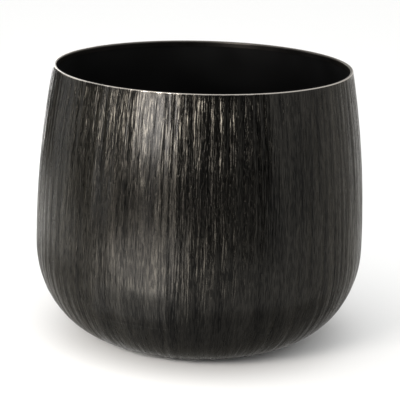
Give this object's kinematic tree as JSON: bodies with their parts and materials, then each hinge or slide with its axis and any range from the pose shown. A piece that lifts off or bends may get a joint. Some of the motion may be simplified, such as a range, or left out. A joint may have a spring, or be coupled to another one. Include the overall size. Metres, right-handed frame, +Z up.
{
  "type": "metal cachepot",
  "caption": "Round sheet-metal cachepot with a belly, a rounded foot and an open mouth, dark textured outside and black coated inside, to hold a potted plant.",
  "frame": {"origin": "on the floor, at the pot's axis, level with the undersides of the floor pads", "axes": "+Z up along the pot's axis, +Y towards the back, where the wall's weld seam is, -Y towards the viewer"},
  "size_m": [0.3, 0.3, 0.2499],
  "materials": {
    "textured_plated_steel": "upright chiselled grain, black-nickel plated, half gloss",
    "smooth_plated_steel": "smooth, black-nickel plated, half gloss",
    "waterproof_coat": "sprayed waterproof coat, satin",
    "pad_rubber": "moulded, matt"
  },
  "bodies": {
    "root": {"side_wall": "textured_plated_steel", "seam_weld": "textured_plated_steel", "bottom_dish": "smooth_plated_steel", "girth_weld": "smooth_plated_steel", "rim_ring": "smooth_plated_steel", "inner_coat": "waterproof_coat", "floor_pad_1": "pad_rubber", "floor_pad_2": "pad_rubber", "floor_pad_3": "pad_rubber", "floor_pad_4": "pad_rubber"}
  },
  "joints": []
}
